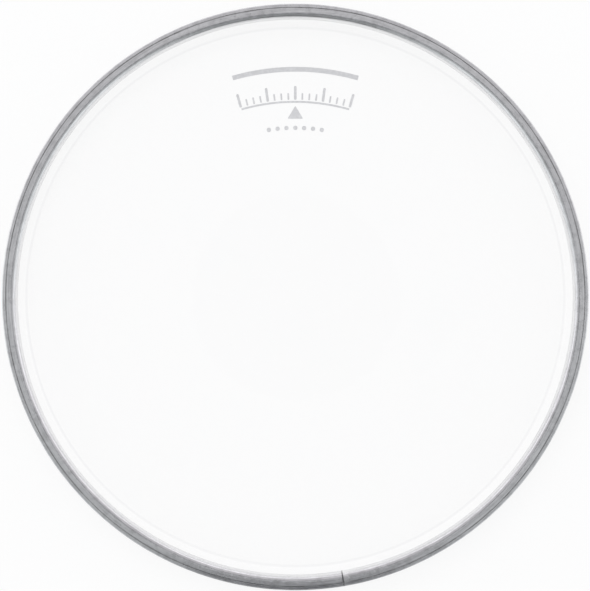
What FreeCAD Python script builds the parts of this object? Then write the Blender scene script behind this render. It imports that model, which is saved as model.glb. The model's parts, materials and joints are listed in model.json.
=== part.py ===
import FreeCAD, Part
import math
import os

# Drum head for a ten inch shell, lying face down. The playing face is at the bottom, looking along -Z,
# and the shell enters from above along -Z. The origin is the centre of the playing face.

# Driving dimensions, in millimetres.

# Shell that the head is made for.
SHELL_DIAMETER = 251.0
SHELL_CLEARANCE = 1.6  # radial room between the shell and the hoop's bore
EDGE_SETBACK = 2.0  # from the shell's outside in to the crest of its bearing edge

# Hoop: a channel that opens downwards, towards the playing side.
HOOP_HEIGHT = 9.6
INNER_WALL = 1.2
OUTER_WALL = 1.2
CHANNEL_WIDTH = 3.85
WEB = 1.3
OUTER_EDGE_RADIUS = 0.7
INNER_EDGE_RADIUS = 2.15
CHANNEL_CORNER_RADIUS = 1.2
LIP_THICKNESS = 0.9
LIP_REACH = 1.7  # how far the lip turns in under the channel
LIP_BEND_RADIUS = 0.8
LIP_ROOT_RADIUS = 0.2
HOOP_JOINT_GAP = 0.06

# Groove rolled into the closed side of the hoop.
OUTER_LAND = 1.6  # from the hoop's outside in to the groove
OUTER_LAND_FALL = 0.12  # drop of the outer land from the groove to the hoop's outside
GROOVE_MOUTH = 0.4
GROOVE_FLOOR = 0.15
GROOVE_DEPTH = 0.35

# Crimp dents along the inner edge of the closed side.
CRIMP_PITCH = 6.0
CRIMP_INSET = 2.2  # from the bore out to the middle of a dent
CRIMP_DIAMETER = 1.0
CRIMP_DEPTH = 0.05

# Film.
FILM_THICKNESS = 0.25
FILM_CLEARANCE = 0.05  # between the film and what it is clamped in
CREASE_BEND_RADIUS = 2.0
COLLAR_HEIGHT = 5.6  # from the playing face up to the hoop

# Locking ring inside the channel.
LOCKING_RING_CORNER_RADIUS = 0.3
LOCKING_RING_GAP = 0.6

# Angles about Z, in degrees, from +X towards +Y.
HOOP_JOINT_ANGLE = -80.4
LOCKING_RING_JOINT_ANGLE = HOOP_JOINT_ANGLE + 180.0

CUT_OVERRUN = 1.0
SHORTEST_EDGE = 1e-6

# Radii and heights that follow.
SHELL_RADIUS = SHELL_DIAMETER / 2
CREASE_RADIUS = SHELL_RADIUS - EDGE_SETBACK
BORE_RADIUS = SHELL_RADIUS + SHELL_CLEARANCE
CHANNEL_INSIDE = BORE_RADIUS + INNER_WALL
CHANNEL_OUTSIDE = CHANNEL_INSIDE + CHANNEL_WIDTH
CHANNEL_MIDDLE = CHANNEL_INSIDE + CHANNEL_WIDTH / 2
HOOP_RADIUS = CHANNEL_OUTSIDE + OUTER_WALL
HOOP_BOTTOM = COLLAR_HEIGHT
HOOP_TOP = HOOP_BOTTOM + HOOP_HEIGHT
CHANNEL_ROOF = HOOP_TOP - WEB
LIP_TOP = HOOP_BOTTOM + LIP_THICKNESS
SEAT = LIP_TOP + FILM_CLEARANCE  # where the locking ring stands on the lip

# The film's fold over the locking ring, measured at the middle of its thickness.
FOLD_RADIUS = CHANNEL_WIDTH / 2 - FILM_CLEARANCE - FILM_THICKNESS / 2
FOLD_HEIGHT = CHANNEL_ROOF - FILM_CLEARANCE - FILM_THICKNESS / 2 - FOLD_RADIUS
LOCKING_RING_HALF_WIDTH = FOLD_RADIUS - FILM_THICKNESS / 2 - FILM_CLEARANCE
LOCKING_RING_TOP = FOLD_HEIGHT + LOCKING_RING_HALF_WIDTH

AXIS_POINT = FreeCAD.Vector(0, 0, 0)
AXIS = FreeCAD.Vector(0, 0, 1)


def at(radius, height):
    """Point of the cross section, which lies in the XZ plane."""
    return FreeCAD.Vector(radius, 0, height)


def around(centre, radius, angle):
    """Point of the cross section at a radius and an angle in degrees about a centre."""
    turn = math.radians(angle)
    return centre + at(radius * math.cos(turn), radius * math.sin(turn))


def line(start, end):
    return Part.LineSegment(start, end).toShape()


def arc(centre, radius, first, last):
    """Arc about a centre from the first angle to the last, in degrees."""
    middle = (first + last) / 2
    points = [around(centre, radius, angle) for angle in (first, middle, last)]
    return Part.Arc(*points).toShape()


def rounded_section(corners):
    """Face bounded by straight runs between (point, radius) corners, each rounded by its radius."""
    runs = []
    rounds = []
    for index, (corner, radius) in enumerate(corners):
        back = (corners[index - 1][0] - corner).normalize()
        ahead = (corners[(index + 1) % len(corners)][0] - corner).normalize()
        half = back.getAngle(ahead) / 2
        setback = radius / math.tan(half)
        start = corner + back * setback
        end = corner + ahead * setback
        runs.append((start, end))
        if radius > 0:
            inward = (back + ahead).normalize()
            middle = corner + inward * (radius / math.sin(half) - radius)
            rounds.append(Part.Arc(start, middle, end).toShape())
    for index, (start, end) in enumerate(runs):
        before = runs[index - 1][1]
        if before.distanceToPoint(start) > SHORTEST_EDGE:
            rounds.append(line(before, start))
    return Part.Face(Part.Wire(Part.sortEdges(rounds)[0]))


def turned(section):
    """Solid of revolution of a cross section about the head's axis."""
    return section.revolve(AXIS_POINT, AXIS, 360)


def joint_cut(gap, angle):
    """Radial slot of the given width through a ring, at an angle about the axis."""
    inside = BORE_RADIUS - CUT_OVERRUN
    length = HOOP_RADIUS + CUT_OVERRUN - inside
    height = HOOP_HEIGHT + CUT_OVERRUN * 2
    corner = FreeCAD.Vector(inside, -gap / 2, HOOP_BOTTOM - CUT_OVERRUN)
    slot = Part.makeBox(length, gap, height, corner)
    slot.rotate(AXIS_POINT, AXIS, angle)
    return slot


def crimp_dents():
    """Round dents in a circle near the bore, with the hoop's joint half way between two of them."""
    circle = BORE_RADIUS + CRIMP_INSET
    count = round(2 * math.pi * circle / CRIMP_PITCH)
    step = 360.0 / count
    ball = ((CRIMP_DIAMETER / 2) ** 2 + CRIMP_DEPTH**2) / (2 * CRIMP_DEPTH)
    dents = []
    for index in range(count):
        dent = Part.makeSphere(ball, at(circle, HOOP_TOP - CRIMP_DEPTH + ball))
        dent.rotate(AXIS_POINT, AXIS, HOOP_JOINT_ANGLE + step * (index + 1 / 2))
        dents.append(dent)
    return dents


def flesh_hoop():
    """Channel rolled into a ring, with its lip, groove, crimp dents and butt joint."""
    lip_end = CHANNEL_OUTSIDE - LIP_REACH
    groove_outside = HOOP_RADIUS - OUTER_LAND
    groove_inside = groove_outside - GROOVE_MOUTH
    groove_slant = (GROOVE_MOUTH - GROOVE_FLOOR) / 2
    groove_bottom = HOOP_TOP - GROOVE_DEPTH
    section = rounded_section(
        [
            (at(BORE_RADIUS, HOOP_BOTTOM), INNER_WALL / 2),
            (at(CHANNEL_INSIDE, HOOP_BOTTOM), INNER_WALL / 2),
            (at(CHANNEL_INSIDE, CHANNEL_ROOF), CHANNEL_CORNER_RADIUS),
            (at(CHANNEL_OUTSIDE, CHANNEL_ROOF), CHANNEL_CORNER_RADIUS),
            (at(CHANNEL_OUTSIDE, LIP_TOP), LIP_ROOT_RADIUS),
            (at(lip_end, LIP_TOP), LIP_THICKNESS / 2),
            (at(lip_end, HOOP_BOTTOM), LIP_THICKNESS / 2),
            (at(HOOP_RADIUS, HOOP_BOTTOM), LIP_BEND_RADIUS),
            (at(HOOP_RADIUS, HOOP_TOP - OUTER_LAND_FALL), OUTER_EDGE_RADIUS),
            (at(groove_outside, HOOP_TOP), 0),
            (at(groove_outside - groove_slant, groove_bottom), 0),
            (at(groove_inside + groove_slant, groove_bottom), 0),
            (at(groove_inside, HOOP_TOP), 0),
            (at(BORE_RADIUS, HOOP_TOP), INNER_EDGE_RADIUS),
        ]
    )
    ring = turned(section)
    return ring.cut(crimp_dents() + [joint_cut(HOOP_JOINT_GAP, HOOP_JOINT_ANGLE)])


def locking_ring():
    """Strip ring that the film's edge is folded over, round on top, standing on the channel's lip."""
    inside = CHANNEL_MIDDLE - LOCKING_RING_HALF_WIDTH
    outside = CHANNEL_MIDDLE + LOCKING_RING_HALF_WIDTH
    section = rounded_section(
        [
            (at(inside, SEAT), LOCKING_RING_CORNER_RADIUS),
            (at(outside, SEAT), LOCKING_RING_CORNER_RADIUS),
            (at(outside, LOCKING_RING_TOP), LOCKING_RING_HALF_WIDTH),
            (at(inside, LOCKING_RING_TOP), LOCKING_RING_HALF_WIDTH),
        ]
    )
    return turned(section).cut(joint_cut(LOCKING_RING_GAP, LOCKING_RING_JOINT_ANGLE))


def head_film():
    """Film with a flat face, a crease, a collar, and a skirt folded over the locking ring."""
    middle = FILM_THICKNESS / 2
    crease_radius = CREASE_BEND_RADIUS + middle
    crease = at(CREASE_RADIUS, FILM_THICKNESS + CREASE_BEND_RADIUS)
    wrap_radius = INNER_WALL / 2 + FILM_CLEARANCE + middle
    wrap = at(BORE_RADIUS + INNER_WALL / 2, HOOP_BOTTOM + INNER_WALL / 2)
    fold = at(CHANNEL_MIDDLE, FOLD_HEIGHT)

    # The collar is the straight run that is tangent to the crease and to the wrap round the inner wall.
    across = wrap - crease
    lean = math.asin((wrap_radius - crease_radius) / across.Length)
    slope = math.degrees(math.atan2(across.z, across.x) - lean)

    def side(offset):
        """Edges of one face of the film, offset from the middle, from the axis to the film's end."""
        crease_arc = arc(crease, crease_radius - offset, -90, slope - 90)
        wrap_arc = arc(wrap, wrap_radius - offset, slope - 90, 0)
        fold_arc = arc(fold, FOLD_RADIUS + offset, 180, 0)
        start = at(0, middle + offset)
        end = at(CHANNEL_MIDDLE + FOLD_RADIUS + offset, SEAT + LIP_ROOT_RADIUS)
        arcs = [crease_arc, wrap_arc, fold_arc]
        starts = [start] + [edge.lastVertex().Point for edge in arcs]
        ends = [edge.firstVertex().Point for edge in arcs] + [end]
        return arcs + [line(a, b) for a, b in zip(starts, ends)], start, end

    upper, upper_start, upper_end = side(middle)
    lower, lower_start, lower_end = side(-middle)
    caps = [line(upper_start, lower_start), line(upper_end, lower_end)]
    return turned(Part.Face(Part.Wire(Part.sortEdges(upper + lower + caps)[0])))


PIECES = {
    "head_film": head_film,
    "flesh_hoop": flesh_hoop,
    "locking_ring": locking_ring,
}

os.makedirs("parts", exist_ok=True)
for name, build in PIECES.items():
    piece = build()
    box = piece.optimalBoundingBox(False)
    piece.exportStep(f"parts/{name}.step")
    print(f"{name}: {box.XLength:.2f} x {box.YLength:.2f} x {box.ZLength:.2f} mm, {piece.Volume:.0f} mm3")
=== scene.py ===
"""Drum head lying face down: a clear film clamped in a rolled aluminium hoop, dressed and lit."""

import json
import logging
import math
from dataclasses import dataclass
from enum import Enum
from functools import reduce
from typing import Any, Callable, Sequence

import bmesh
import bpy
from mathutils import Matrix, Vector


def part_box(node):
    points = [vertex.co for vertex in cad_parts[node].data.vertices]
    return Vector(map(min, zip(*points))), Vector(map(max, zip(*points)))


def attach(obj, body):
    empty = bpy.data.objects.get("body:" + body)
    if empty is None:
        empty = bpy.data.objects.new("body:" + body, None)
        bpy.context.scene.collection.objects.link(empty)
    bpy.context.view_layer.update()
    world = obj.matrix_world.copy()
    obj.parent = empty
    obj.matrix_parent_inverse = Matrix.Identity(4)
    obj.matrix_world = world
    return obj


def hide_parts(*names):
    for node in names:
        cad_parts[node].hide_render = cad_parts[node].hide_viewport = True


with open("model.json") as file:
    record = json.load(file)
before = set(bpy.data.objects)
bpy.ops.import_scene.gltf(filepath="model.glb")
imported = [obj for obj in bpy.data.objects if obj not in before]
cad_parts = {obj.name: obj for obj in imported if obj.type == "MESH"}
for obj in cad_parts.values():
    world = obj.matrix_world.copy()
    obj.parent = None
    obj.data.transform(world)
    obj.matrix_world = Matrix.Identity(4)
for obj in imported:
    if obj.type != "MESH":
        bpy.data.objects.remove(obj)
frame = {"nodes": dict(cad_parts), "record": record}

MM = 0.001
WELD = 1e-6
FULL_TURN = 2 * math.pi
CENTRE = (0.0, 0.0, 0.0)
AXIS = (0.0, 0.0, 1.0)
ROUND_PROFILE = 0.5
SIZE_DIGITS = 5

Colour = tuple[float, float, float]
Place = tuple[float, float, float]
Span = tuple[float, float]
Test = Callable[[Vector], bool]
Piece = bpy.types.Object
Socket = bpy.types.NodeSocket

log = logging.getLogger("drum_head")


class Slot(Enum):
    """Material slots of the record."""

    FILM = "clear_film"
    HOOP = "hoop_aluminium"
    RING = "ring_aluminium"


class Node(Enum):
    """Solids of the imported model."""

    FILM = "head_film"
    HOOP = "flesh_hoop"
    RING = "locking_ring"


def section_point(radius: float, height: float) -> Vector:
    """Point of a cross section, which lies in the XZ plane."""
    return Vector((radius, 0.0, height))


def rgba(colour: Colour) -> tuple[float, float, float, float]:
    """Colour with full alpha, for a socket."""
    return (*colour, 1.0)


def scale_mesh(piece: Piece, factor: float) -> None:
    """Scales the mesh of the selected piece about the origin."""
    piece.scale = (factor,) * 3
    bpy.ops.object.transform_apply(location=False, rotation=False, scale=True)


def apply_modifier(piece: Piece, kind: str, **settings: Any) -> None:
    """Adds a modifier to a piece and applies it.

    Args:
        piece: The piece, selected and active.
        kind: Blender's name for the modifier type.
        settings: Properties of the modifier.
    """
    bpy.ops.object.modifier_add(type=kind)
    modifier = piece.modifiers[-1]
    for name, value in settings.items():
        setattr(modifier, name, value)
    bpy.ops.object.modifier_apply(modifier=modifier.name)


class Bench:
    """One new piece, worked in edit mode with Blender's mesh operators."""

    def __init__(self, name: str) -> None:
        """Starts the piece as a plane of one millimetre at the origin, in edit mode.

        Args:
            name: Name of the object and its mesh.
        """
        bpy.ops.object.select_all(action="DESELECT")
        bpy.ops.mesh.primitive_plane_add(size=MM, location=CENTRE)
        self.piece: Piece = bpy.context.active_object
        self.piece.name = name
        self.piece.data.name = name
        bpy.ops.object.mode_set(mode="EDIT")
        bpy.ops.mesh.select_mode(type="VERT")

    def pick(self, wanted: Test) -> None:
        """Selects the vertices whose place passes a test, and nothing else.

        Args:
            wanted: Test of a vertex's place.
        """
        work = bmesh.from_edit_mesh(self.piece.data)
        for vertex in work.verts:
            vertex.select = wanted(vertex.co)
        work.select_mode = {"VERT"}
        work.select_flush_mode()
        bmesh.update_edit_mesh(self.piece.data)

    def pick_all(self) -> None:
        """Selects the whole piece."""
        bpy.ops.mesh.select_all(action="SELECT")

    def trace(self, corners: Sequence[Vector], closed: bool) -> None:
        """Draws an outline by extruding one vertex from corner to corner.

        Args:
            corners: Corners of the outline, in order.
            closed: Whether the last corner joins the first.
        """
        self.pick_all()
        bpy.ops.mesh.merge(type="CENTER")
        bpy.ops.transform.translate(value=corners[0])
        for start, end in zip(corners, corners[1:]):
            bpy.ops.mesh.extrude_vertices_move(TRANSFORM_OT_translate={"value": end - start})
        if closed:
            first, last = corners[0], corners[-1]
            self.pick(lambda co: min((co - first).length, (co - last).length) < WELD)
            bpy.ops.mesh.edge_face_add()

    def round_corner(self, corner: Vector, setback: float, segments: int) -> None:
        """Rounds one corner of an outline, from its setback on either side, in so many straight runs."""
        self.pick(lambda co: (co - corner).length < WELD)
        self.round_picked(setback, segments)

    def round_picked(self, setback: float, segments: int) -> None:
        """Rounds the corners that are selected."""
        bpy.ops.mesh.bevel(
            offset=setback, segments=segments, profile=ROUND_PROFILE, affect="VERTICES", clamp_overlap=False
        )

    def spin(self, angle: float, steps: int, copies: bool = False) -> None:
        """Sweeps or copies what is selected about the head's axis, against the clock."""
        bpy.ops.mesh.spin(steps=steps, angle=-angle, dupli=copies, center=CENTRE, axis=AXIS)

    def repeat(self, step: float, count: int) -> None:
        """Copies the whole piece about the head's axis, a step apart, until there are so many of it."""
        self.pick_all()
        self.spin(step * (count - 1), count - 1, copies=True)

    def swing(self, angle: float) -> None:
        """Turns the whole piece about the head's axis, against the clock."""
        self.pick_all()
        bpy.ops.transform.rotate(value=-angle, orient_axis="Z", center_override=CENTRE)

    def merge(self) -> None:
        """Merges doubled vertices."""
        self.pick_all()
        bpy.ops.mesh.remove_doubles(threshold=WELD)

    def weld(self) -> None:
        """Merges doubled vertices and turns the faces outwards."""
        self.merge()
        bpy.ops.mesh.normals_make_consistent(inside=False)

    def leave(self, smooth_below: float) -> Piece:
        """Ends the work in edit mode and smooths the shading.

        Args:
            smooth_below: Faces that meet at less than this angle are shaded as one, in degrees.

        Returns:
            The piece.
        """
        bpy.ops.object.mode_set(mode="OBJECT")
        bpy.ops.object.shade_smooth_by_angle(angle=math.radians(smooth_below))
        return self.piece


class Wiring:
    """Adds nodes to a node tree and links them."""

    def __init__(self, tree: bpy.types.NodeTree) -> None:
        """Empties the node tree of a material, a world or a group."""
        tree.nodes.clear()
        self.tree = tree

    def add(self, kind: str, inputs: dict[Any, Any] | None = None, **settings: Any) -> bpy.types.Node:
        """Adds one node.

        Args:
            kind: Blender's name for the node type.
            inputs: Socket names or numbers, with a value or an output to link.
            settings: Properties of the node.

        Returns:
            The node.
        """
        node = self.tree.nodes.new(kind)
        for name, value in settings.items():
            setattr(node, name, value)
        for key, value in (inputs or {}).items():
            if isinstance(value, Socket):
                self.tree.links.new(value, node.inputs[key])
            else:
                node.inputs[key].default_value = value
        return node

    def math(self, operation: str, first: Any, second: Any = 0.0) -> Socket:
        """Result of a Math node on two values or outputs."""
        return self.add("ShaderNodeMath", {0: first, 1: second}, operation=operation).outputs[0]

    def product(self, *factors: Any) -> Socket:
        """Values and outputs multiplied with one another."""
        return reduce(lambda first, second: self.math("MULTIPLY", first, second), factors)

    def ramp(self, value: Any, start: Any, end: Any, low: float = 0.0, high: float = 1.0) -> Socket:
        """Smooth step of a value, from low at its start and before to high at its end and after."""
        values = {"Value": value, "From Min": start, "From Max": end, "To Min": low, "To Max": high}
        return self.add("ShaderNodeMapRange", values, interpolation_type="SMOOTHSTEP").outputs[0]

    def blend(self, factor: Any, first: Any, second: Any) -> Socket:
        """Mix of two colours or colour outputs."""
        return self.add("ShaderNodeMix", {0: factor, 6: first, 7: second}, data_type="RGBA").outputs[2]

    def place(self) -> Socket:
        """Object coordinates, in metres."""
        return self.add("ShaderNodeTexCoord").outputs["Object"]

    def parts(self, vector: Socket) -> Sequence[Socket]:
        """X, Y and Z of a vector."""
        return self.add("ShaderNodeSeparateXYZ", {0: vector}).outputs

    def vector(self, x: Any, y: Any, z: Any = 0.0) -> Socket:
        """Vector of three values or outputs."""
        return self.add("ShaderNodeCombineXYZ", {0: x, 1: y, 2: z}).outputs[0]

    def flat(self, vector: Socket) -> Socket:
        """What a vector has square to the head's axis."""
        parts = self.parts(vector)
        return self.vector(parts[0], parts[1])

    def length(self, vector: Socket) -> Socket:
        """Length of a vector."""
        return self.add("ShaderNodeVectorMath", {0: vector}, operation="LENGTH").outputs["Value"]

    def along(self, vector: Socket, direction: Place) -> Socket:
        """How far a vector reaches in a direction."""
        values = {0: vector, 1: direction}
        return self.add("ShaderNodeVectorMath", values, operation="DOT_PRODUCT").outputs["Value"]

    def surface(self, shader: bpy.types.Node) -> None:
        """Links a shader to the material's output."""
        self.add("ShaderNodeOutputMaterial", {"Surface": shader.outputs[0]})


@dataclass(frozen=True)
class DrawnLines:
    """Changes per radian along the drawn lines, and lines per metre across them."""

    around: float
    across: float


@dataclass(frozen=True)
class HandlingMarks:
    """Patches per metre, and the noise at which a patch starts and is full."""

    fineness: float
    start: float
    full: float


class Effects:
    """Node groups that more than one material uses."""

    LINE_DETAIL = 2.0
    MARK_DETAIL = 4.0
    ROUGHNESS = 0.6

    def __init__(self) -> None:
        """Builds the groups."""
        self.drawn = self._drawn_lines()
        self.handled = self._handling()

    @staticmethod
    def _group(name: str, inputs: Sequence[str], output: str) -> tuple[Wiring, Any, Any]:
        """Starts a shader node group with plain number sockets.

        Args:
            name: Name of the group.
            inputs: Names of its inputs.
            output: Name of its output.

        Returns:
            The group's wiring, the outputs of its input node and the input of its output node.
        """
        tree = bpy.data.node_groups.new(name, "ShaderNodeTree")
        for label in inputs:
            tree.interface.new_socket(name=label, in_out="INPUT", socket_type="NodeSocketFloat")
        tree.interface.new_socket(name=output, in_out="OUTPUT", socket_type="NodeSocketFloat")
        wiring = Wiring(tree)
        return wiring, wiring.add("NodeGroupInput").outputs, wiring.add("NodeGroupOutput").inputs[output]

    def _drawn_lines(self) -> bpy.types.NodeTree:
        """Fine lines that run round the head's axis, as rolling and drawing leave them.

        Returns:
            The group, whose inputs are the fields of DrawnLines.
        """
        wiring, given, result = self._group("drawn_lines", ("Around", "Across"), "Lines")
        place = wiring.place()
        flat = wiring.flat(place)
        heading = wiring.add("ShaderNodeVectorMath", {0: flat}, operation="NORMALIZE").outputs[0]
        turned = {0: heading, "Scale": given["Around"]}
        turn = wiring.parts(wiring.add("ShaderNodeVectorMath", turned, operation="SCALE").outputs[0])
        height = wiring.product(wiring.parts(place)[2], given["Across"])
        values = {
            "Vector": wiring.vector(turn[0], turn[1], height),
            "W": wiring.product(wiring.length(flat), given["Across"]),
            "Scale": 1.0,
            "Detail": self.LINE_DETAIL,
            "Roughness": self.ROUGHNESS,
        }
        lines = wiring.add("ShaderNodeTexNoise", values, noise_dimensions="4D")
        wiring.tree.links.new(lines.outputs[0], result)
        return wiring.tree

    def _handling(self) -> bpy.types.NodeTree:
        """Soft patches where hands, dust and storage have left their marks.

        Returns:
            The group, whose inputs are the fields of HandlingMarks.
        """
        wiring, given, result = self._group("handling_marks", ("Fineness", "Start", "Full"), "Mask")
        values = {
            "Vector": wiring.place(),
            "Scale": given["Fineness"],
            "Detail": self.MARK_DETAIL,
            "Roughness": self.ROUGHNESS,
        }
        patches = wiring.add("ShaderNodeTexNoise", values).outputs[0]
        wiring.tree.links.new(wiring.ramp(patches, given["Start"], given["Full"]), result)
        return wiring.tree

    def lines(self, wiring: Wiring, drawn: DrawnLines) -> Socket:
        """Drawn lines in a material, about 0.5 in the mean."""
        values = {"Around": drawn.around, "Across": drawn.across}
        return self._placed(wiring, self.drawn, values)

    def marks(self, wiring: Wiring, handled: HandlingMarks) -> Socket:
        """Mask of the handling marks in a material."""
        values = {"Fineness": handled.fineness, "Start": handled.start, "Full": handled.full}
        return self._placed(wiring, self.handled, values)

    @staticmethod
    def _placed(wiring: Wiring, group: bpy.types.NodeTree, values: dict[str, float]) -> Socket:
        """Places a group in a material.

        Args:
            wiring: Wiring of the material.
            group: The group.
            values: Values of the group's inputs.

        Returns:
            The group's output.
        """
        node = wiring.add("ShaderNodeGroup", node_tree=group)
        for label, value in values.items():
            node.inputs[label].default_value = value
        return node.outputs[0]


def new_material(name: str) -> tuple[bpy.types.Material, Wiring]:
    """Starts a node material.

    Args:
        name: Name of the material.

    Returns:
        The material and the wiring of its nodes.
    """
    material = bpy.data.materials.new(name)
    material.use_nodes = True
    return material, Wiring(material.node_tree)


@dataclass(frozen=True)
class ClosedSide:
    """Soil with painted shade, wear and joint marks of the hoop's closed side. Depths are below its land."""

    land_height: float
    land_inside: float
    groove_outside: float
    joint_angle: float
    stain: Colour = (0.06, 0.06, 0.065)
    filed: Colour = (0.86, 0.86, 0.865)
    uneven: HandlingMarks = HandlingMarks(110.0, 0.35, 0.65)
    least_soil_and_shade: float = 0.45
    most_soil_and_shade: float = 0.95
    soil_and_shade_depths: Span = (0.03 * MM, 0.35 * MM)
    soil_and_shade_floor: Span = (0.6 * MM, 0.45 * MM)
    inside_fade: float = 0.1 * MM
    outside_fade: float = 0.08 * MM
    wear_depths: Span = (1.0 * MM, 0.2 * MM)
    wall_wear: float = 0.15
    stain_reach: Span = (0.15 * MM, 0.4 * MM)
    stain_share: float = 0.95
    filed_start: float = 0.5 * MM
    filed_reach: Span = (1.5 * MM, 5.0 * MM)
    filed_share: float = 0.8
    joint_fade: float = 100.0 * MM

    def soil_and_cavity_shade(self, wiring: Wiring, effects: Effects) -> Socket:
        """Soil that stays in the groove and the crimp dents, with painted shade that grows with depth below
        the land.

        Args:
            wiring: Wiring of the material.
            effects: Shared node groups.

        Returns:
            The mask of the soil and the painted shade.
        """
        radius = wiring.length(wiring.flat(wiring.place()))
        inside = wiring.ramp(radius, self.land_inside, self.land_inside + self.inside_fade)
        outside = wiring.ramp(radius, self.groove_outside, self.groove_outside + self.outside_fade, 1.0, 0.0)
        # Painted shade: the mark darkens with depth below the land, as shade does in the groove and the
        # dents.
        depth = self._by_depth(wiring, self.soil_and_shade_depths, 0.0, self.most_soil_and_shade)
        floor = self._by_depth(wiring, self.soil_and_shade_floor, 0.0, 1.0)
        uneven = wiring.ramp(effects.marks(wiring, self.uneven), 0.0, 1.0, self.least_soil_and_shade, 1.0)
        return wiring.product(inside, outside, depth, floor, uneven)

    def worn(self, wiring: Wiring) -> Socket:
        """Share of the wear, which is full on the land and slight on the walls."""
        return self._by_depth(wiring, self.wear_depths, self.wall_wear, 1.0)

    def joint_marks(self, wiring: Wiring) -> tuple[Socket, Socket]:
        """Bright filed end at the butt joint, and the dark stain along the two ends that meet there.

        Args:
            wiring: Wiring of the material.

        Returns:
            The mask of the filed metal and the mask of the stain.
        """
        outwards = (math.cos(self.joint_angle), math.sin(self.joint_angle), 0.0)
        across = (-outwards[1], outwards[0], 0.0)
        place = wiring.place()
        at_joint = wiring.ramp(wiring.along(place, outwards), 0.0, self.joint_fade)
        offset = wiring.along(place, across)
        stain = wiring.ramp(wiring.math("ABSOLUTE", offset), *self.stain_reach, self.stain_share, 0.0)
        filed = wiring.ramp(offset, *self.filed_reach, self.filed_share, 0.0)
        start = wiring.ramp(offset, 0.0, self.filed_start)
        return wiring.product(start, filed, at_joint), wiring.product(stain, at_joint)

    def _by_depth(self, wiring: Wiring, depths: Span, low: float, high: float) -> Socket:
        """Smooth step from low at the first depth below the land to high at the second."""
        height = wiring.parts(wiring.place())[2]
        return wiring.ramp(height, self.land_height - depths[0], self.land_height - depths[1], low, high)


@dataclass(frozen=True)
class AluminiumFinish:
    """Mill-finished aluminium with fine lines along the ring."""

    name: str
    bright: Colour
    dull: Colour
    soil_and_shade: Colour
    smooth: float
    rough: float
    closed_side: ClosedSide | None = None
    hair: DrawnLines = DrawnLines(14.0, 9000.0)
    hair_noise: Span = (0.3, 0.7)
    hair_share: float = 0.35
    streak: DrawnLines = DrawnLines(9.0, 1300.0)
    streak_noise: Span = (0.32, 0.68)
    streak_share: float = 0.65
    bloom: HandlingMarks = HandlingMarks(260.0, 0.44, 0.68)
    bloom_share: float = 0.28
    pits: HandlingMarks = HandlingMarks(1100.0, 0.6, 0.72)
    pit_share: float = 0.55
    smudge: HandlingMarks = HandlingMarks(60.0, 0.45, 0.75)
    hair_wear: float = 0.6
    smudge_wear: float = 0.4
    wear_span: Span = (0.1, 0.8)
    relief: float = 0.12
    relief_depth: float = 0.02 * MM

    def material(self, effects: Effects) -> bpy.types.Material:
        """Builds the material.

        Args:
            effects: Shared node groups.

        Returns:
            The material.
        """
        material, wiring = new_material(self.name)
        hair = effects.lines(wiring, self.hair)
        streak = effects.lines(wiring, self.streak)
        streaks = wiring.ramp(streak, *self.streak_noise, 0.0, self.streak_share)
        hairs = wiring.ramp(hair, *self.hair_noise, 0.0, self.hair_share)
        colour = wiring.blend(wiring.math("ADD", streaks, hairs), rgba(self.dull), rgba(self.bright))
        worn: Any = 1.0
        if self.closed_side:
            worn = self.closed_side.worn(wiring)
            # Soil and painted shade darken the groove and the crimp dents.
            colour = wiring.blend(self.closed_side.soil_and_cavity_shade(wiring, effects), colour, rgba(self.soil_and_shade))
            filed, stain = self.closed_side.joint_marks(wiring)
            colour = wiring.blend(filed, colour, rgba(self.closed_side.filed))
            colour = wiring.blend(stain, colour, rgba(self.closed_side.stain))
        for marks, share in ((self.bloom, self.bloom_share), (self.pits, self.pit_share)):
            mask = wiring.product(effects.marks(wiring, marks), worn, share)
            colour = wiring.blend(mask, colour, rgba(self.soil_and_shade))
        smudge = wiring.product(effects.marks(wiring, self.smudge), self.smudge_wear)
        wear = wiring.math("ADD", wiring.product(hair, self.hair_wear), smudge)
        bump = wiring.add(
            "ShaderNodeBump", {"Strength": self.relief, "Distance": self.relief_depth, "Height": hair}
        )
        shader = {
            "Base Color": colour,
            "Metallic": 1.0,
            "Roughness": wiring.ramp(wear, *self.wear_span, self.smooth, self.rough),
            "Normal": bump.outputs[0],
        }
        wiring.surface(wiring.add("ShaderNodeBsdfPrincipled", shader))
        return material


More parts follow.
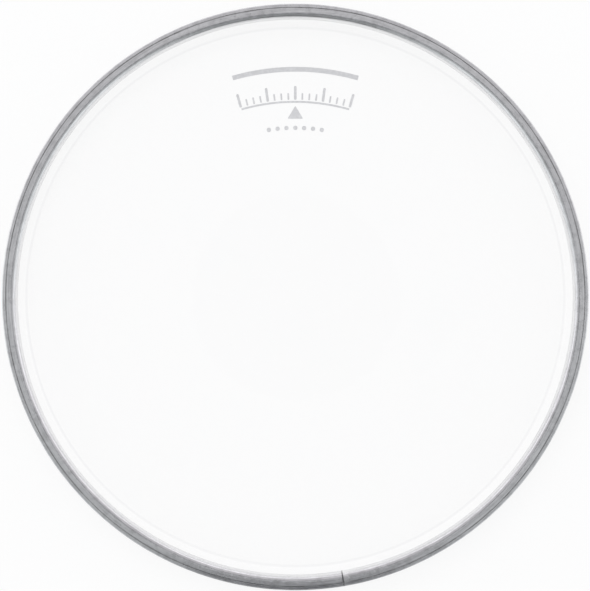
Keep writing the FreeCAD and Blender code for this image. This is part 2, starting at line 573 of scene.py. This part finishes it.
@dataclass(frozen=True)
class FilmFinish:
    """Clear glossy polyester with faint waves, finger marks and painted shade along a crease."""

    crease: float
    name: str = Slot.FILM.value
    clear: Colour = (1.0, 1.0, 1.0)
    tinged: Colour = (0.992, 0.995, 0.995)
    crease_shade: Colour = (0.95, 0.95, 0.955)
    passed: Colour = (0.985, 0.985, 0.985)
    smooth: float = 0.015
    rough: float = 0.06
    ior: float = 1.26
    smudge: HandlingMarks = HandlingMarks(22.0, 0.5, 0.8)
    dust: HandlingMarks = HandlingMarks(900.0, 0.7, 0.78)
    crease_shade_reach: Span = (0.2 * MM, 0.9 * MM)
    crease_shade_share: float = 0.7
    waves: float = 28.0
    wave_detail: float = 1.0
    wave_roughness: float = 0.4
    relief: float = 0.25
    relief_depth: float = 0.2 * MM

    def material(self, effects: Effects) -> bpy.types.Material:
        """Builds the material, which lets the room's light through to what is behind it.

        Args:
            effects: Shared node groups.

        Returns:
            The material.
        """
        material, wiring = new_material(self.name)
        place = wiring.place()
        smudge = effects.marks(wiring, self.smudge)
        dust = effects.marks(wiring, self.dust)
        colour = wiring.blend(smudge, rgba(self.clear), rgba(self.tinged))
        radius = wiring.length(wiring.flat(place))
        # Painted shade: a greyer band round the crease, where the film bends.
        off_crease = wiring.math("ABSOLUTE", wiring.math("SUBTRACT", radius, self.crease))
        crease_shade_mask = wiring.ramp(off_crease, *self.crease_shade_reach, self.crease_shade_share, 0.0)
        waves = {
            "Vector": place,
            "Scale": self.waves,
            "Detail": self.wave_detail,
            "Roughness": self.wave_roughness,
        }
        relief = {
            "Strength": self.relief,
            "Distance": self.relief_depth,
            "Height": wiring.add("ShaderNodeTexNoise", waves).outputs[0],
        }
        shader = {
            "Base Color": wiring.blend(crease_shade_mask, colour, rgba(self.crease_shade)),
            "Metallic": 0.0,
            "Roughness": wiring.ramp(wiring.math("MAXIMUM", smudge, dust), 0.0, 1.0, self.smooth, self.rough),
            "IOR": self.ior,
            "Transmission Weight": 1.0,
            "Normal": wiring.add("ShaderNodeBump", relief).outputs[0],
        }
        mixed = wiring.add("ShaderNodeBsdfPrincipled", shader)
        passing = wiring.add("ShaderNodeBsdfTransparent", {"Color": rgba(self.passed)})
        rays = wiring.add("ShaderNodeLightPath").outputs
        for ray in ("Is Diffuse Ray", "Is Shadow Ray"):
            both = {0: rays[ray], 1: mixed.outputs[0], 2: passing.outputs[0]}
            mixed = wiring.add("ShaderNodeMixShader", both)
        wiring.surface(mixed)
        return material


@dataclass(frozen=True)
class InkFinish:
    """Thin grey screen ink, a little uneven."""

    name: str = "grey_ink"
    full: Colour = (0.66, 0.66, 0.67)
    thin: Colour = (0.74, 0.74, 0.75)
    patches: HandlingMarks = HandlingMarks(700.0, 0.4, 0.7)
    smooth: float = 0.45
    rough: float = 0.6

    def material(self, effects: Effects) -> bpy.types.Material:
        """Builds the material.

        Args:
            effects: Shared node groups.

        Returns:
            The material.
        """
        material, wiring = new_material(self.name)
        patches = effects.marks(wiring, self.patches)
        shader = {
            "Base Color": wiring.blend(patches, rgba(self.full), rgba(self.thin)),
            "Roughness": wiring.ramp(patches, 0.0, 1.0, self.smooth, self.rough),
        }
        wiring.surface(wiring.add("ShaderNodeBsdfPrincipled", shader))
        return material


@dataclass(frozen=True)
class FloorFinish:
    """White paper sweep that shows white to the camera, to metal and to glass, and keeps a soft shadow."""

    name: str = "paper_floor"
    paper: Colour = (0.94, 0.94, 0.94)
    fibre: Colour = (0.92, 0.92, 0.925)
    fibres: HandlingMarks = HandlingMarks(400.0, 0.4, 0.7)
    white: Colour = (1.0, 1.0, 1.0)
    white_share: float = 0.86
    mirrored_share: float = 0.15

    def material(self, effects: Effects) -> bpy.types.Material:
        """Builds the material.

        Args:
            effects: Shared node groups.

        Returns:
            The material.
        """
        material, wiring = new_material(self.name)
        colour = wiring.blend(effects.marks(wiring, self.fibres), rgba(self.paper), rgba(self.fibre))
        paper = wiring.add("ShaderNodeBsdfDiffuse", {"Color": colour})
        white = wiring.add("ShaderNodeEmission", {"Color": rgba(self.white), "Strength": 1.0})
        rays = wiring.add("ShaderNodeLightPath").outputs
        mirrored = wiring.product(rays["Is Glossy Ray"], self.mirrored_share)
        seen = wiring.math("MAXIMUM", rays["Is Camera Ray"], rays["Is Transmission Ray"])
        share = wiring.math("MAXIMUM", mirrored, wiring.product(seen, self.white_share))
        both = {0: share, 1: paper.outputs[0], 2: white.outputs[0]}
        wiring.surface(wiring.add("ShaderNodeMixShader", both))
        return material


@dataclass(frozen=True)
class CardFinish:
    """Dark matt card behind the camera."""

    name: str = "dark_card"
    card: Colour = (0.1, 0.1, 0.11)
    worn: Colour = (0.14, 0.14, 0.15)
    wear: HandlingMarks = HandlingMarks(30.0, 0.4, 0.7)

    def material(self, effects: Effects) -> bpy.types.Material:
        """Builds the material.

        Args:
            effects: Shared node groups.

        Returns:
            The material.
        """
        material, wiring = new_material(self.name)
        colour = wiring.blend(effects.marks(wiring, self.wear), rgba(self.card), rgba(self.worn))
        wiring.surface(wiring.add("ShaderNodeBsdfDiffuse", {"Color": colour}))
        return material


@dataclass
class FleshHoop:
    """Aluminium channel rolled into a ring that opens towards the playing side."""

    bore: float
    outside: float
    bottom: float
    top: float
    inner_wall: float = 1.2 * MM
    outer_wall: float = 1.2 * MM
    web: float = 1.3 * MM
    outer_edge_setback: float = 0.644 * MM
    inner_edge: float = 2.15 * MM
    channel_corner: float = 1.2 * MM
    lip_thickness: float = 0.9 * MM
    lip_reach: float = 1.7 * MM
    lip_bend: float = 0.8 * MM
    lip_root: float = 0.2 * MM
    outer_land: float = 1.6 * MM
    outer_land_fall: float = 0.12 * MM
    groove_mouth: float = 0.4 * MM
    groove_floor: float = 0.15 * MM
    groove_depth: float = 0.35 * MM
    groove_edge: float = 0.07 * MM
    crimp_count: int = 136
    crimp_inset: float = 2.2 * MM
    dent_width: float = 1.44 * MM
    dent_columns: int = 6
    plain_columns: int = 2
    dent_rows: tuple[float, ...] = (0.62 * MM, 0.44 * MM, 0.27 * MM)
    dent_presses: tuple[Span, ...] = (
        (0.5 * MM, 0.008 * MM),
        (0.4 * MM, 0.012 * MM),
        (0.3 * MM, 0.012 * MM),
        (0.15 * MM, 0.008 * MM),
    )
    press_zone: float = 0.5 * MM
    joint_gap: float = 0.06 * MM
    joint_zone: float = 2.0 * MM
    joint_angle: float = math.radians(-80.4)
    soil_and_shade_overlap: float = 0.2 * MM
    smooth_below: float = 32.0

    @property
    def groove_outside(self) -> float:
        """Radius of the groove's outer edge."""
        return self.outside - self.outer_land

    def build(self) -> Piece:
        """Models one crimp's length of the channel, repeats it round the ring and cuts the joint.

        Returns:
            The hoop.
        """
        bench = Bench("hoop_channel")
        self._trace_section(bench)
        step = FULL_TURN / self.crimp_count
        circle = self.bore + self.crimp_inset
        dent_span = self.dent_width / circle
        plain_span = (step - dent_span) / 2
        bench.pick_all()
        bench.spin(plain_span, self.plain_columns)
        bench.spin(dent_span, self.dent_columns)
        bench.spin(plain_span, self.plain_columns)
        self._press_dent(bench, Vector((circle * math.cos(step / 2), circle * math.sin(step / 2))))
        bench.repeat(step, self.crimp_count)
        bench.weld()
        self._cut_joint(bench)
        bench.swing(self.joint_angle)
        hoop = bench.leave(self.smooth_below)
        self._even_shading(hoop)
        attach(hoop, "root")
        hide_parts(Node.HOOP.value)
        return hoop

    def _trace_section(self, bench: Bench) -> None:
        """Draws the channel's cross section and rounds its corners.

        Args:
            bench: Bench with the new piece.
        """
        channel_inside = self.bore + self.inner_wall
        channel_outside = self.outside - self.outer_wall
        roof = self.top - self.web
        lip_top = self.bottom + self.lip_thickness
        lip_end = channel_outside - self.lip_reach
        groove_inside = self.groove_outside - self.groove_mouth
        groove_base = self.top - self.groove_depth
        slant = (self.groove_mouth - self.groove_floor) / 2
        crimp = self.bore + self.crimp_inset
        # Each corner has its setback and the straight runs of its rounding, none where it stays sharp.
        rounded = [
            (section_point(self.bore, self.bottom), self.inner_wall / 2, 4),
            (section_point(channel_inside, self.bottom), self.inner_wall / 2, 4),
            (section_point(channel_inside, roof), self.channel_corner, 4),
            (section_point(channel_outside, roof), self.channel_corner, 4),
            (section_point(channel_outside, lip_top), self.lip_root, 2),
            (section_point(lip_end, lip_top), self.lip_thickness / 2, 3),
            (section_point(lip_end, self.bottom), self.lip_thickness / 2, 3),
            (section_point(self.outside, self.bottom), self.lip_bend, 5),
            (section_point(self.outside, self.top - self.outer_land_fall), self.outer_edge_setback, 6),
            (section_point(self.groove_outside, self.top), self.groove_edge, 2),
            (section_point(self.groove_outside - slant, groove_base), 0.0, 0),
            (section_point(groove_inside + slant, groove_base), 0.0, 0),
            (section_point(groove_inside, self.top), self.groove_edge, 2),
            *((section_point(crimp + row, self.top), 0.0, 0) for row in self.dent_rows),
            (section_point(self.bore, self.top), self.inner_edge, 10),
        ]
        bench.trace([corner for corner, _, _ in rounded], closed=True)
        for corner, setback, segments in rounded:
            if segments:
                bench.round_corner(corner, setback, segments)
        bench.merge()

    def _press_dent(self, bench: Bench, centre: Vector) -> None:
        """Presses the crimp dent, ring by ring, into the closed side.

        Args:
            bench: Bench with one crimp's length of the channel.
            centre: Middle of the dent in plan.
        """
        for reach, press in self.dent_presses:
            bench.pick(lambda co: co.z > self.top - self.press_zone and (co.xy - centre).length < reach)
            bpy.ops.transform.translate(value=(0.0, 0.0, -press))

    def _cut_joint(self, bench: Bench) -> None:
        """Opens the butt joint and closes the two cut ends.

        Args:
            bench: Bench with the closed ring, its joint on the X axis.
        """
        half = self.joint_gap / 2
        for side in (half, -half):
            bench.pick(lambda co: co.x > 0.0 and abs(co.y) < self.joint_zone)
            bpy.ops.mesh.bisect(plane_co=(self.outside, side, 0.0), plane_no=(0.0, 1.0, 0.0), threshold=WELD)
        bench.pick(lambda co: co.x > 0.0 and abs(co.y) < half / 2)
        bpy.ops.mesh.delete(type="VERT")
        for side in (half, -half):
            bench.pick(lambda co: co.x > 0.0 and abs(co.y - side) < half / 4)
            bpy.ops.mesh.edge_face_add()
        bench.weld()

    @staticmethod
    def _even_shading(hoop: Piece) -> None:
        """Weights the shading by face size, so that the flats stay flat beside their rounded edges.

        The modifier ignores faces as small as these in metres, so the hoop is in millimetres meanwhile.

        Args:
            hoop: The hoop, selected and active.
        """
        scale_mesh(hoop, 1.0 / MM)
        apply_modifier(hoop, "WEIGHTED_NORMAL", keep_sharp=True)
        scale_mesh(hoop, MM)

    def dress(self, hoop: Piece, effects: Effects) -> None:
        """Gives the hoop its metal.

        Args:
            hoop: The hoop.
            effects: Shared node groups.
        """
        marks = ClosedSide(
            land_height=self.top,
            land_inside=self.bore + self.inner_edge - self.soil_and_shade_overlap,
            groove_outside=self.groove_outside,
            joint_angle=self.joint_angle,
        )
        finish = AluminiumFinish(
            name=Slot.HOOP.value,
            bright=(0.86, 0.86, 0.87),
            dull=(0.66, 0.66, 0.67),
            soil_and_shade=(0.38, 0.38, 0.38),
            smooth=0.18,
            rough=0.28,
            closed_side=marks,
        )
        hoop.data.materials.append(finish.material(effects))


@dataclass
class HeadFilm:
    """Clear film with a flat face, a crease, a collar, and a skirt folded inside the channel."""

    hoop: FleshHoop
    crease: float = 123.5 * MM
    crease_bend: float = 2.0 * MM
    crease_shade_offset: float = 0.5 * MM
    thickness: float = 0.25 * MM
    clearance: float = 0.05 * MM
    flat_shares: tuple[float, ...] = (0.0, 0.25, 0.5, 0.75, 0.93, 0.995)
    crease_segments: int = 10
    wrap_segments: int = 4
    fold_segments: int = 6
    steps: int = 360
    smooth_below: float = 30.0

    def build(self) -> Piece:
        """Traces the middle of the film, turns it about the axis and gives it its thickness.

        Returns:
            The film.
        """
        middle = self.thickness / 2
        bend = self.crease_bend + middle
        wall = self.hoop.inner_wall / 2
        wrap = wall + self.clearance + middle
        wrap_at = section_point(self.hoop.bore + wall, self.hoop.bottom + wall)
        bend_at = section_point(self.crease, self.thickness + self.crease_bend)
        across = wrap_at - bend_at
        slope = math.atan2(across.z, across.x) - math.asin((wrap - bend) / across.length)
        leg = wrap_at.x + wrap
        fold_top = self.hoop.top - self.hoop.web - self.clearance - middle
        outer_leg = self.hoop.outside - self.hoop.outer_wall - self.clearance - middle
        fold = (outer_leg - leg) / 2
        end = self.hoop.bottom + self.hoop.lip_thickness + self.clearance + self.hoop.lip_root

        crease_setback = bend * math.tan(slope / 2)
        crease_corner = section_point(self.crease + crease_setback, middle)
        wrap_corner = section_point(leg, middle + (leg - crease_corner.x) * math.tan(slope))
        fold_in = section_point(leg, fold_top)
        fold_out = section_point(outer_leg, fold_top)
        skirt_end = section_point(outer_leg, end)

        bench = Bench("film_sheet")
        flat = [section_point(share * self.crease, middle) for share in self.flat_shares]
        bench.trace([*flat, crease_corner, wrap_corner, fold_in, fold_out, skirt_end], closed=False)
        bench.round_corner(crease_corner, crease_setback, self.crease_segments)
        bench.round_corner(wrap_corner, wrap * math.tan((math.pi / 2 - slope) / 2), self.wrap_segments)
        bench.round_corner(fold_in, fold, self.fold_segments)
        bench.round_corner(fold_out, fold, self.fold_segments)
        bench.merge()
        bench.pick_all()
        bench.spin(FULL_TURN, self.steps)
        bench.weld()
        film = bench.leave(self.smooth_below)
        apply_modifier(film, "SOLIDIFY", thickness=self.thickness, offset=0.0, use_even_offset=True)
        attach(film, "root")
        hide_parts(Node.FILM.value)
        return film

    def dress(self, film: Piece, effects: Effects) -> None:
        """Makes the film clear, with painted shade along its crease."""
        finish = FilmFinish(crease=self.crease + self.crease_shade_offset)
        film.data.materials.append(finish.material(effects))


@dataclass
class LockingRing:
    """Strip inside the channel that the film is folded over. Its solid is shown as it is."""

    strip: Piece

    def dress(self, effects: Effects) -> None:
        """Gives the strip its metal.

        Args:
            effects: Shared node groups.
        """
        finish = AluminiumFinish(
            name=Slot.RING.value,
            bright=(0.7, 0.7, 0.71),
            dull=(0.58, 0.58, 0.59),
            soil_and_shade=(0.3, 0.3, 0.3),
            smooth=0.3,
            rough=0.45,
        )
        self.strip.data.materials.clear()
        self.strip.data.materials.append(finish.material(effects))


@dataclass
class LocatingScale:
    """Printed dial near the film's edge, used to line the head up on its shell."""

    heading: float = math.radians(90.0)
    arc_radius: float = 90.0 * MM
    arc_width: float = 0.9 * MM
    arc_steps: int = 48
    band_radius: float = 105.0 * MM
    band_width: float = 2.2 * MM
    tick_pitch: float = math.radians(2.0)
    tick_count: int = 17
    tick_size: Span = (3.2 * MM, 0.8 * MM)
    long_every: int = 4
    long_size: Span = (6.4 * MM, 1.2 * MM)
    mark_end_share: float = 0.45
    mark_end_segments: int = 4
    pointer_gap: float = 1.8 * MM
    pointer_height: float = 6.0 * MM
    pointer_width: float = 7.2 * MM
    pointer_corner: float = 0.48 * MM
    pointer_segments: int = 2
    dot_radius: float = 77.0 * MM
    dot_size: Span = (2.0 * MM, 2.0 * MM)
    dot_pitch: float = math.radians(3.0)
    dot_count: int = 7
    ink_below: float = 0.02 * MM
    ink_above: float = 0.01 * MM
    smooth_below: float = 30.0

    def build(self) -> list[Piece]:
        """Models the arc and the band, the ticks between them, and the pointer and the dots inside the arc.

        Returns:
            The printed pieces.
        """
        span = self.tick_pitch * (self.tick_count - 1)
        first = self.heading - span / 2
        first_dot = self.heading - self.dot_pitch * (self.dot_count - 1) / 2
        long_pitch = self.tick_pitch * self.long_every
        long_gaps = (self.tick_count - 1) // self.long_every
        stand = self.arc_radius + self.arc_width
        short_rows = ((self.tick_pitch, self.long_every - 1), (long_pitch, long_gaps))
        long_rows = ((long_pitch, long_gaps + 1),)
        dot_rows = ((self.dot_pitch, self.dot_count),)
        printed = [
            self._arc("scale_arc", self.arc_radius, self.arc_width, span),
            self._arc("scale_band", self.band_radius, self.band_width, span),
            self._row("short_ticks", stand, self.tick_size, first + self.tick_pitch, short_rows),
            self._row("long_ticks", stand, self.long_size, first, long_rows),
            self._pointer(),
            self._row("scale_dots", self.dot_radius, self.dot_size, first_dot, dot_rows),
        ]
        for piece in printed:
            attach(piece, "root")
        return printed

    def _thicken(self, bench: Bench) -> None:
        """Gives a flat print the thickness of its ink."""
        rise = (0.0, 0.0, self.ink_below + self.ink_above)
        bench.pick_all()
        bpy.ops.mesh.extrude_region_move(TRANSFORM_OT_translate={"value": rise})

    def _arc(self, name: str, radius: float, width: float, span: float) -> Piece:
        """Line round the head's axis.

        Args:
            name: Name of the piece.
            radius: Radius of the line's middle.
            width: Width of the line.
            span: Angle from end to end.

        Returns:
            The line.
        """
        bench = Bench(name)
        ends = [section_point(radius + side * width / 2, -self.ink_below) for side in (-1, 1)]
        bench.trace(ends, closed=False)
        bench.pick_all()
        bench.spin(span, self.arc_steps)
        self._thicken(bench)
        bench.swing(self.heading - span / 2)
        bench.weld()
        return bench.leave(self.smooth_below)

    def _row(
        self, name: str, inside: float, size: Span, turn: float, rows: Sequence[tuple[float, int]]
    ) -> Piece:
        """Round-ended marks side by side on a circle.

        Args:
            name: Name of the piece.
            inside: Radius of the circle that the marks stand on.
            size: Length and width of a mark.
            turn: Heading of the first mark.
            rows: Angle from one copy to the next and their number, for each round of copying.

        Returns:
            The row.
        """
        length, width = size
        bench = Bench(name)
        bench.pick_all()
        bpy.ops.transform.resize(value=(length / MM, width / MM, 1.0))
        bpy.ops.transform.translate(value=(inside + length / 2, 0.0, -self.ink_below))
        bench.pick_all()
        bench.round_picked(width * self.mark_end_share, self.mark_end_segments)
        self._thicken(bench)
        for step, count in rows:
            bench.repeat(step, count)
        bench.swing(turn)
        bench.weld()
        return bench.leave(self.smooth_below)

    def _pointer(self) -> Piece:
        """Triangle inside the arc that points at its middle.

        Returns:
            The pointer.
        """
        bench = Bench("scale_pointer")
        tip = self.arc_radius - self.pointer_gap
        base = tip - self.pointer_height
        half = self.pointer_width / 2
        corners = [Vector((x, y, -self.ink_below)) for x, y in ((tip, 0.0), (base, half), (base, -half))]
        bench.trace(corners, closed=True)
        bench.pick_all()
        bpy.ops.mesh.edge_face_add()
        bench.pick_all()
        bench.round_picked(self.pointer_corner, self.pointer_segments)
        self._thicken(bench)
        bench.swing(self.heading)
        bench.weld()
        return bench.leave(self.smooth_below)

    def dress(self, printed: Sequence[Piece], effects: Effects) -> None:
        """Inks the printed pieces.

        Args:
            printed: The printed pieces.
            effects: Shared node groups.
        """
        ink = InkFinish().material(effects)
        for piece in printed:
            piece.data.materials.append(ink)


@dataclass(frozen=True)
class Softbox:
    """One soft lamp of the studio."""

    name: str
    place: Place
    width: float
    power: float

    def build(self) -> None:
        """Hangs the lamp so that it faces the head."""
        lamp = bpy.data.lights.new(self.name, "AREA")
        lamp.shape = "SQUARE"
        lamp.size = self.width
        lamp.energy = self.power
        holder = bpy.data.objects.new(self.name, lamp)
        holder.location = self.place
        holder.rotation_euler = (-Vector(self.place)).to_track_quat("-Z", "Y").to_euler()
        holder.visible_glossy = False
        holder.visible_transmission = False
        bpy.context.scene.collection.objects.link(holder)


@dataclass(frozen=True)
class DarkCard:
    """Dark round card beside the camera, which only the metal mirrors. Its lift is above the camera."""

    name: str
    across: float
    lift: float
    radius: float
    sides: int = 64

    def build(self, camera_top: float, material: bpy.types.Material) -> None:
        """Hangs the card level, facing the head.

        Args:
            camera_top: Height of the camera.
            material: Finish of the card.
        """
        place = (0.0, self.across, camera_top + self.lift)
        bpy.ops.object.select_all(action="DESELECT")
        bpy.ops.mesh.primitive_circle_add(
            vertices=self.sides, radius=self.radius, fill_type="NGON", location=place
        )
        card = bpy.context.active_object
        card.name = self.name
        card.data.materials.append(material)
        card.visible_camera = False
        card.visible_shadow = False
        card.visible_diffuse = False
        card.visible_transmission = False


@dataclass(frozen=True)
class RoomLight:
    """Soft light of the room, set by the Y and Z of a heading of length one, with +Y to the far side."""

    wall_level: float = 1.08
    ceiling_level: float = 0.58
    ceiling_rise: Span = (0.5, 0.82)
    far_lift: float = 0.22
    far_span: Span = (0.1, 0.6)
    near_level: float = 0.9
    far_level: float = 1.1
    side_span: Span = (-0.3, 0.25)
    operator_width: Span = (-0.8, -0.98)
    operator_span: Span = (-0.35, -1.0)
    operator_share: float = 0.78
    near_tint: Colour = (0.955, 0.985, 1.0)
    far_tint: Colour = (0.985, 0.97, 1.0)
    tint_span: Span = (-0.3, 0.3)

    def build(self) -> None:
        """Lights bright walls on three sides, dimmer on the camera operator's side and overhead."""
        world = bpy.data.worlds.new("studio_room")
        world.use_nodes = True
        bpy.context.scene.world = world
        wiring = Wiring(world.node_tree)
        heading = wiring.add("ShaderNodeTexCoord").outputs["Generated"]
        _, far, up = wiring.parts(heading)
        rise = wiring.math("ADD", up, wiring.ramp(far, *self.far_span, 0.0, self.far_lift))
        level = wiring.ramp(rise, *self.ceiling_rise, self.wall_level, self.ceiling_level)
        side = wiring.ramp(far, *self.side_span, self.near_level, self.far_level)
        level_far = wiring.math("DIVIDE", far, wiring.length(wiring.flat(heading)))
        behind = wiring.ramp(level_far, *self.operator_width)
        lower = wiring.ramp(far, *self.operator_span, 0.0, self.operator_share)
        dim = wiring.math("SUBTRACT", 1.0, wiring.product(behind, lower))
        tint = wiring.blend(wiring.ramp(far, *self.tint_span), rgba(self.near_tint), rgba(self.far_tint))
        light = {"Color": tint, "Strength": wiring.product(level, side, dim)}
        background = wiring.add("ShaderNodeBackground", light)
        wiring.add("ShaderNodeOutputWorld", {"Surface": background.outputs[0]})


@dataclass
class Studio:
    """Floor, lamps, surroundings and camera."""

    head_top: float
    hoop_radius: float
    floor_width: float = 8.0
    floor_drop: float = 0.1 * MM
    softbox: Softbox = Softbox("ceiling_softbox", place=(-0.3, 0.7, 1.9), width=1.8, power=16.0)
    cards: tuple[DarkCard, ...] = (
        DarkCard("camera_card", across=0.0, lift=0.08, radius=0.1),
        DarkCard("operator_card", across=-0.43, lift=0.1, radius=0.17),
    )
    camera_height: float = 1.0
    camera_offset: Span = (-0.15 * MM, 0.69 * MM)
    hoop_pixels: float = 293.6
    frame_pixels: float = 591.0
    sensor: float = 36.0
    clip_start: float = 0.01

    @property
    def camera_top(self) -> float:
        """Height of the camera above the playing face."""
        return self.head_top + self.camera_height

    def build(self, effects: Effects) -> None:
        """Sets up everything round the head.

        Args:
            effects: Shared node groups.
        """
        self._floor(effects)
        finish = CardFinish().material(effects)
        for card in self.cards:
            card.build(self.camera_top, finish)
        RoomLight().build()
        self.softbox.build()
        self._camera()
        bpy.context.scene.view_settings.view_transform = "Standard"

    def _floor(self, effects: Effects) -> None:
        """Lays the paper floor just under the film.

        Args:
            effects: Shared node groups.
        """
        bpy.ops.object.select_all(action="DESELECT")
        bpy.ops.mesh.primitive_plane_add(size=self.floor_width, location=(0.0, 0.0, -self.floor_drop))
        floor = bpy.context.active_object
        floor.name = "paper_floor"
        floor.data.materials.append(FloorFinish().material(effects))

    def _camera(self) -> None:
        """Hangs the camera straight above the head, looking down into its open side."""
        lens = bpy.data.cameras.new("picture_camera")
        lens.sensor_width = self.sensor
        reach = self.hoop_pixels * self.camera_height / self.hoop_radius
        lens.lens = self.sensor * reach / self.frame_pixels
        lens.clip_start = self.clip_start
        camera = bpy.data.objects.new("picture_camera", lens)
        camera.location = (*self.camera_offset, self.camera_top)
        bpy.context.scene.collection.objects.link(camera)
        bpy.context.scene.camera = camera


def bore_radius() -> float:
    """Radius of the hoop's bore, as the record gives it."""
    mounts = {mount["name"]: mount for mount in frame["record"]["mounts"]}
    return mounts["shell_bore"]["dims"]["r_mm"] * MM


def report(pieces: Sequence[Piece]) -> None:
    """Logs the size of each piece.

    Args:
        pieces: The pieces, in the order of their making.
    """
    for piece in pieces:
        size = [round(side, SIZE_DIGITS) for side in piece.dimensions]
        log.info("%s: %d faces, %s m", piece.name, len(piece.data.polygons), size)


def main() -> None:
    """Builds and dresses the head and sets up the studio."""
    logging.basicConfig(level=logging.INFO, format="%(name)s: %(message)s")
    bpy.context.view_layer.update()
    effects = Effects()
    lowest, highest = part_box(Node.HOOP.value)

    hoop = FleshHoop(bore=bore_radius(), outside=highest[0], bottom=lowest[2], top=highest[2])
    channel = hoop.build()
    hoop.dress(channel, effects)
    film = HeadFilm(hoop)
    sheet = film.build()
    film.dress(sheet, effects)
    ring = LockingRing(frame["nodes"][Node.RING.value])
    ring.dress(effects)
    scale = LocatingScale()
    printed = scale.build()
    scale.dress(printed, effects)
    report([channel, sheet, ring.strip, *printed])

    Studio(head_top=hoop.top, hoop_radius=hoop.outside).build(effects)


if __name__ == "__main__":
    main()
